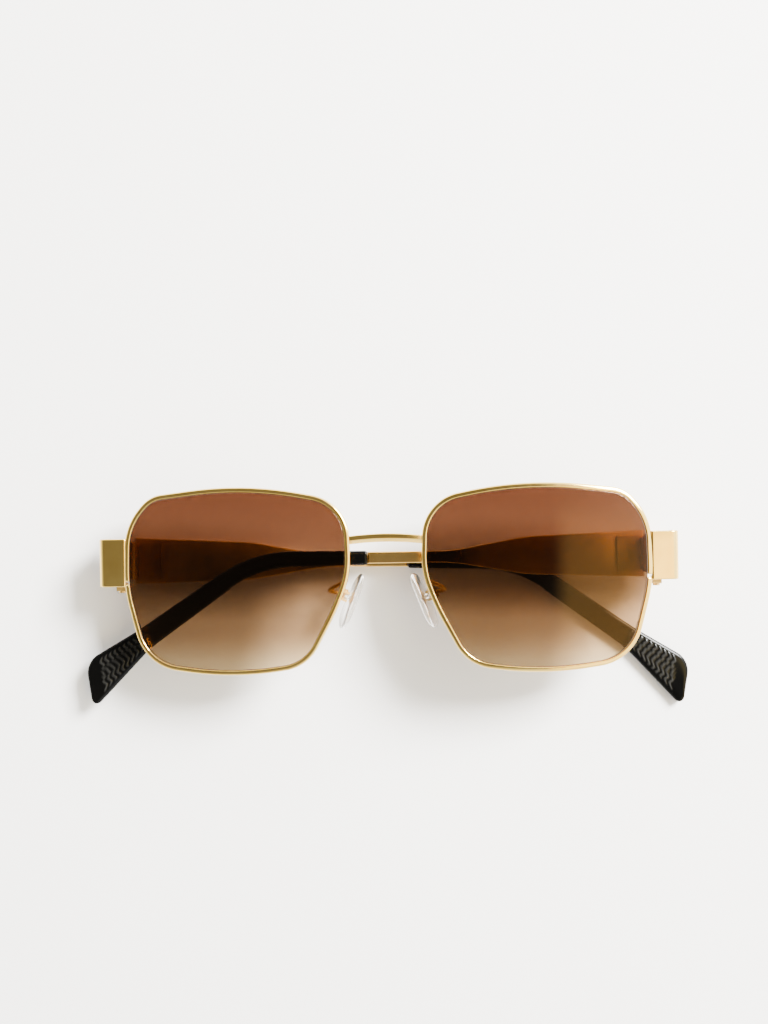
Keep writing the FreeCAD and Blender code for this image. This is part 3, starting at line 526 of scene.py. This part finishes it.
clear_pad, surface, node, join = shader("clear_silicone")
place_on = node("ShaderNodeTexCoord")
cloud = node("ShaderNodeTexNoise", Scale=300.0, Detail=3.0)
tone = ramp(node, (0.0, (0.93, 0.90, 0.84)), (1.0, (0.98, 0.97, 0.94)))
haze = node("ShaderNodeMapRange", From_Min=0.3, From_Max=0.8, To_Min=0.06, To_Max=0.22)
join(place_on, "Object", cloud, "Vector")
join(cloud, "Fac", tone, "Fac")
join(tone, "Color", surface, "Base Color")
join(cloud, "Fac", haze, "Value")
join(haze, "Result", surface, "Roughness")
surface.inputs["Transmission Weight"].default_value = 0.92
surface.inputs["IOR"].default_value = 1.42

broad = PAD_WIDE / 2
slim = broad * PAD_SLIM
pad_outline = rounded([(slim, PAD_LONG * PAD_ABOVE, slim * SLIM_ROUND),
                       (broad, -PAD_LONG * PAD_BELOW, broad * BROAD_ROUND),
                       (-broad, -PAD_LONG * PAD_BELOW, broad * BROAD_ROUND),
                       (-slim, PAD_LONG * PAD_ABOVE, slim * SLIM_ROUND)], PAD_STEP)
pad_centre = pad_outline.mean(0)
# From back to front the outline grows as a power of a sine and the thickness runs as a cosine.
swell = np.linspace(0, math.pi, PAD_RINGS)[:, None]
grown = np.clip(np.sin(swell), PAD_MIDDLE, 1) ** PAD_EDGE_POWER
pad_flat = pad_centre + (pad_outline - pad_centre)[None] * grown[..., None]
pad_level = np.cos(swell) * PAD_THICK / 2 - PAD_STAND - PAD_THICK / 2
pad_rings = np.stack(np.broadcast_arrays(pad_level, pad_flat[..., 1], pad_flat[..., 0]), -1)
stem_level, stem_share = np.array(STEM_STATIONS).T[..., None]
stem_angle = np.linspace(0, 2 * math.pi, STEM_POINTS, endpoint=False)
stem_rings = np.stack(np.broadcast_arrays(stem_level, stem_share * STEM_WIDE / 2 * np.cos(stem_angle),
                                          stem_share * STEM_RADIUS * np.sin(stem_angle)), -1)
for side, sign in (("left", 1), ("right", -1)):
    rock = joints[side + "_pad_rock"]
    pad_y = unit(-np.array(rock["axis"]))
    level = unit(np.cross(pad_y, front_z))
    pad_x = level * math.cos(PAD_SPLAY) + sign * front_z * math.sin(PAD_SPLAY)
    pad_x = unit(pad_x - pad_y * (pad_x @ pad_y))
    on_pad = place(np.array(rock["pos_m"]), pad_x, pad_y)
    pad = skin("nose_pad_%s_drop" % side, on_pad(pad_rings * [sign, 1, 1]), flip=sign < 0)
    stem = skin("nose_pad_%s_stem" % side, on_pad(stem_rings * [sign, 1, 1]), flip=sign > 0)
    for part in (pad, stem):
        part.data.materials.append(clear_pad)
        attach(part, side + "_pad")
    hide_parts("nose_pad_" + side)


# Table: a plain pale painted top, wide enough to fill the view, with a faint cloudiness in the
# paint. It lies a hair below the glasses, so that their lowest face doesn't fight with it.
TABLE_HALF, TABLE_BELOW = 6.0, 0.00003
table_mesh = bpy.data.meshes.new("table_top")
table_mesh.from_pydata([(-TABLE_HALF, -TABLE_HALF, 0), (TABLE_HALF, -TABLE_HALF, 0),
                        (TABLE_HALF, TABLE_HALF, 0), (-TABLE_HALF, TABLE_HALF, 0)], [], [(0, 1, 2, 3)])
table = bpy.data.objects.new("table_top", table_mesh)
table.location = (0, 0, -TABLE_BELOW)
bpy.context.scene.collection.objects.link(table)
paint, surface, node, join = shader("pale_table")
place_on = node("ShaderNodeTexCoord")
cloud = node("ShaderNodeTexNoise", Scale=3.0, Detail=2.0)
tone = ramp(node, (0.0, (0.88, 0.876, 0.866)), (1.0, (0.91, 0.906, 0.896)))
join(place_on, "Object", cloud, "Vector")
join(cloud, "Fac", tone, "Fac")
join(tone, "Color", surface, "Base Color")
surface.inputs["Roughness"].default_value = 0.75
surface.inputs["Specular IOR Level"].default_value = 0.2
table_mesh.materials.append(paint)


# Room: pale walls, brighter on the right, under a dim ceiling, with a warm screen of light about 15
# to 40 degrees to the right of overhead. Metal that lies flat shows the ceiling, its turned edges show
# the walls, and the screen shows faintly in the lenses.
ROOM_STRENGTH = 5.4
WALLS_TOWARDS, WALLS_REACH = (0.8, 0.6, 0), 0.8
WALLS_DIM, WALLS_BRIGHT, CEILING_COLOUR = (0.30, 0.295, 0.285), (1.0, 0.99, 0.965), (0.058, 0.056, 0.054)
CEILING_LEAN, CEILING_AHEAD = math.radians(-20), 0.12
CEILING_EDGE, WALL_EDGE = math.radians(29), math.radians(62)
# The screen's edges, as distance across over height: where each starts and ends fading.
SCREEN_COLOUR = (1.2, 0.95, 0.42, 1)
SCREEN_EDGES = {"X": ((0.255, 0.37), (0.70, 0.85)), "Y": ((-0.62, -0.42), (0.02, 0.42))}
SCREEN_LOWEST = 0.05
world = bpy.data.worlds.new("soft_room")
bpy.context.scene.world = world
world.use_nodes = True
node, join = node_tools(world.node_tree)
room = node("ShaderNodeTexCoord")
brighter = node("ShaderNodeVectorMath", operation="DOT_PRODUCT")
brighter.inputs[1].default_value = WALLS_TOWARDS
walls = node("ShaderNodeMapRange", From_Min=-WALLS_REACH, From_Max=WALLS_REACH)
wall_tone = ramp(node, (0.0, WALLS_DIM), (1.0, WALLS_BRIGHT))
upwards = node("ShaderNodeVectorMath", operation="DOT_PRODUCT")
upwards.inputs[1].default_value = Vector((math.sin(CEILING_LEAN), CEILING_AHEAD,
                                          math.cos(CEILING_LEAN))).normalized()
ceiling = node("ShaderNodeMapRange", interpolation_type="SMOOTHSTEP",
               From_Min=math.cos(WALL_EDGE), From_Max=math.cos(CEILING_EDGE))
walls_and_ceiling = node("ShaderNodeMix", data_type="RGBA")
walls_and_ceiling.inputs[7].default_value = (*CEILING_COLOUR, 1)
join(room, "Generated", brighter, 0)
join(brighter, "Value", walls, "Value")
join(walls, "Result", wall_tone, "Fac")
join(room, "Generated", upwards, 0)
join(upwards, "Value", ceiling, "Value")
join(ceiling, "Result", walls_and_ceiling, "Factor")
join(wall_tone, "Color", walls_and_ceiling, 6)
split = node("ShaderNodeSeparateXYZ")
height = node("ShaderNodeMath", operation="MAXIMUM")
height.inputs[1].default_value = SCREEN_LOWEST
join(room, "Generated", split, "Vector")
join(split, "Z", height, 0)
screen_amount = None
for axis, (opening, closing) in SCREEN_EDGES.items():
    across_room = node("ShaderNodeMath", operation="DIVIDE")
    join(split, axis, across_room, 0)
    join(height, "Value", across_room, 1)
    for (fade_start, fade_end), (low, high) in ((opening, (0, 1)), (closing, (1, 0))):
        edge = node("ShaderNodeMapRange", interpolation_type="SMOOTHSTEP", From_Min=fade_start,
                    From_Max=fade_end, To_Min=low, To_Max=high)
        join(across_room, "Value", edge, "Value")
        if screen_amount is None:
            screen_amount, amount_output = edge, "Result"
            continue
        times = node("ShaderNodeMath", operation="MULTIPLY")
        join(screen_amount, amount_output, times, 0)
        join(edge, "Result", times, 1)
        screen_amount, amount_output = times, "Value"
with_screen = node("ShaderNodeMix", data_type="RGBA")
with_screen.inputs[7].default_value = SCREEN_COLOUR
join(screen_amount, amount_output, with_screen, "Factor")
join(walls_and_ceiling, 2, with_screen, 6)
background = world.node_tree.nodes["Background"]
join(with_screen, 2, background, "Color")
background.inputs["Strength"].default_value = ROOM_STRENGTH


# Window: one square soft light from the upper right, facing the middle of the table, that gives
# the glasses their pale shadow to the lower left.
WINDOW_AT, WINDOW_SIZE = Vector((0.70, 0.55, 0.75)), 0.42
WINDOW_POWER, WINDOW_COLOUR = 105.0, (1.0, 0.985, 0.96)
light = bpy.data.lights.new("window", "AREA")
light.shape, light.size, light.size_y = "RECTANGLE", WINDOW_SIZE, WINDOW_SIZE
light.energy, light.color = WINDOW_POWER, WINDOW_COLOUR
away = WINDOW_AT.normalized()
sideways = Vector((0, 1, 0)).cross(away).normalized()
window = bpy.data.objects.new("window", light)
bpy.context.scene.collection.objects.link(window)
window.matrix_world = (Matrix.Translation(WINDOW_AT)
                       @ Matrix((sideways, away.cross(sideways), away)).transposed().to_4x4())


# Camera: 300 mm over the front and 2.2 degrees to its left hinge's side, turned a little so that
# hinge sits higher.
CAMERA_UP, CAMERA_LENS, CAMERA_SENSOR, CAMERA_NEAR = 0.300, 43.95, 36.0, 0.01
CAMERA_ROLL, CAMERA_LEAN = math.radians(-0.95), math.radians(2.2)
CAMERA_AIM, CAMERA_AHEAD = -0.0002, 0.0115
view = bpy.data.cameras.new("camera")
view.lens, view.sensor_width, view.clip_start = CAMERA_LENS, CAMERA_SENSOR, CAMERA_NEAR
camera = bpy.data.objects.new("camera", view)
bpy.context.scene.collection.objects.link(camera)
lean_x = front_x * math.cos(CAMERA_LEAN) - front_z * math.sin(CAMERA_LEAN)
lean_z = front_z * math.cos(CAMERA_LEAN) + front_x * math.sin(CAMERA_LEAN)
square_on = Matrix((Vector(lean_x), Vector(front_y), Vector(lean_z))).transposed().to_4x4()
camera_at = middle + front_x * CAMERA_AIM + front_y * CAMERA_AHEAD + lean_z * CAMERA_UP
camera.matrix_world = Matrix.Translation(camera_at) @ square_on @ Matrix.Rotation(CAMERA_ROLL, 4, "Z")
bpy.context.scene.camera = camera
